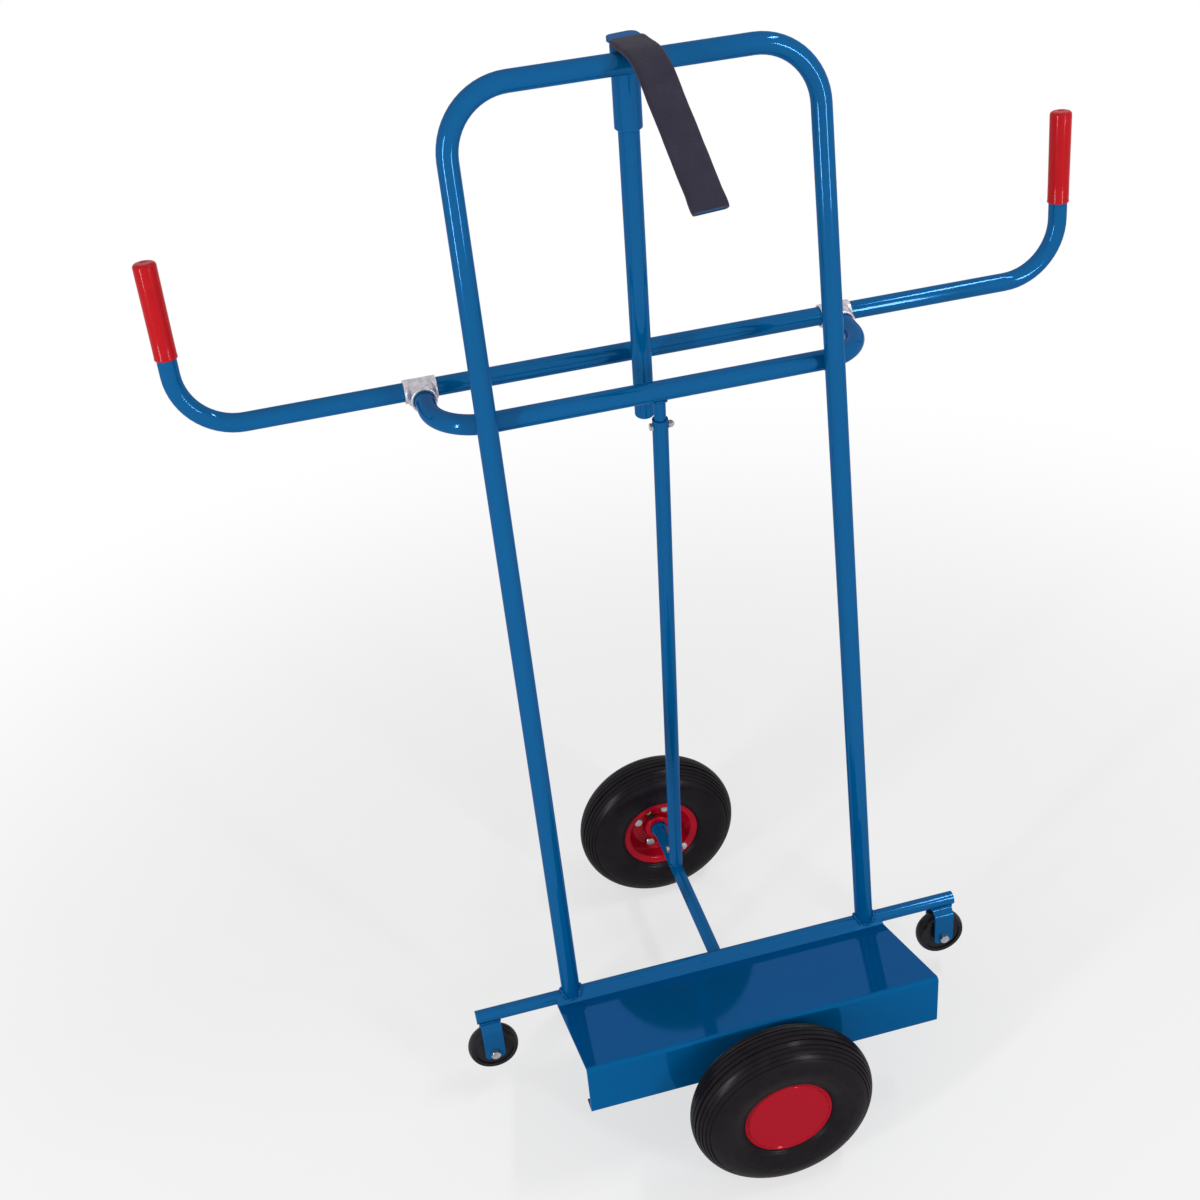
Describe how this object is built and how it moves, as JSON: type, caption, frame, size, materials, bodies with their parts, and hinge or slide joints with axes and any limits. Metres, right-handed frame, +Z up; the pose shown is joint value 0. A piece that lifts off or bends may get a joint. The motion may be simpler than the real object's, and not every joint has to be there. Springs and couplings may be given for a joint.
{
  "type": "panel cart",
  "caption": "Two-wheeled cart for carrying sheets and panels on edge, with a sloping load plate, a tall back frame, side rollers, a wide handle bar and a sliding padded hold-down arm.",
  "frame": {"origin": "on the floor, below the middle of the wheel axle, in the cart's middle plane", "axes": "+Z up, +X along the load plate to the right seen from the front, +Y from the load side to the handle"},
  "size_m": [1.2528, 0.6944, 1.4676],
  "materials": {
    "blue_paint": "gloss powder coat",
    "red_paint": "gloss paint",
    "red_grip": "gloss",
    "zinc_steel": "bright zinc",
    "galvanised_casting": "galvanised",
    "bearing_steel": "dark seal",
    "tyre_rubber": "moulded, satin",
    "tube_rubber": "matt",
    "roller_rubber": "satin",
    "foam": "soft foam, matt"
  },
  "bodies": {
    "cart": {"roller_bar": "blue_paint", "back_frame": "blue_paint", "load_plate": "blue_paint", "axle": "blue_paint", "fork_left": "blue_paint", "fork_right": "blue_paint", "roller_bolt_left": "zinc_steel", "roller_bolt_right": "zinc_steel", "roller_nut_left": "zinc_steel", "roller_nut_right": "zinc_steel", "roller_bush_left": "zinc_steel", "roller_bush_right": "zinc_steel", "axle_collars": "blue_paint", "axle_washers": "zinc_steel", "axle_rings": "zinc_steel", "strut": "blue_paint", "strut_foot_stub": "blue_paint", "strut_head_stub": "blue_paint", "strut_bolts": "zinc_steel", "strut_nuts": "zinc_steel", "handle_bracket": "blue_paint", "clamp_left": "galvanised_casting", "clamp_right": "galvanised_casting", "set_screws_left": "zinc_steel", "set_screws_right": "zinc_steel", "handle_bar": "blue_paint", "grip_left": "red_grip", "grip_right": "red_grip", "mast_sleeve": "blue_paint"},
    "front_wheel": {"front_tyre": "tyre_rubber", "front_inner_tube": "tube_rubber", "front_rim_outer": "red_paint", "front_rim_inner": "red_paint", "front_rim_bolts": "zinc_steel", "front_rim_nuts": "zinc_steel", "front_bearing_outer": "bearing_steel", "front_bearing_inner": "bearing_steel", "front_cap": "red_paint"},
    "rear_wheel": {"rear_tyre": "tyre_rubber", "rear_inner_tube": "tube_rubber", "rear_rim_outer": "red_paint", "rear_rim_inner": "red_paint", "rear_rim_bolts": "zinc_steel", "rear_rim_nuts": "zinc_steel", "rear_bearing_outer": "bearing_steel", "rear_bearing_inner": "bearing_steel", "rear_cap": "red_paint"},
    "left_roller": {"roller_left": "roller_rubber"},
    "right_roller": {"roller_right": "roller_rubber"},
    "mast": {"mast": "blue_paint", "mast_collar": "blue_paint", "mast_plug": "blue_paint"},
    "arm": {"arm_bar": "blue_paint", "arm_spigot": "blue_paint", "arm_foam": "foam"}
  },
  "joints": [
    {"name": "front_wheel_spin", "type": "hinge", "parent": "cart", "child": "front_wheel", "pos_m": [0, -0.30725, 0.13], "axis": [0, 1, 0], "continuous": true},
    {"name": "rear_wheel_spin", "type": "hinge", "parent": "cart", "child": "rear_wheel", "pos_m": [0, 0.30725, 0.13], "axis": [0, 1, 0], "continuous": true},
    {"name": "left_roller_spin", "type": "hinge", "parent": "cart", "child": "left_roller", "pos_m": [-0.356, -0.03725, 0.087], "axis": [0, 1, 0], "continuous": true},
    {"name": "right_roller_spin", "type": "hinge", "parent": "cart", "child": "right_roller", "pos_m": [0.356, -0.03725, 0.087], "axis": [0, 1, 0], "continuous": true},
    {"name": "mast_slide", "type": "slide", "parent": "cart", "child": "mast", "axis": [0, -0.0558, 0.9984], "range_m": [0, 0.35]},
    {"name": "arm_swivel", "type": "hinge", "parent": "mast", "child": "arm", "pos_m": [0, 0.15771, 1.442], "axis": [0, -0.0558, 0.9984], "range_deg": [-38, 22]}
  ]
}
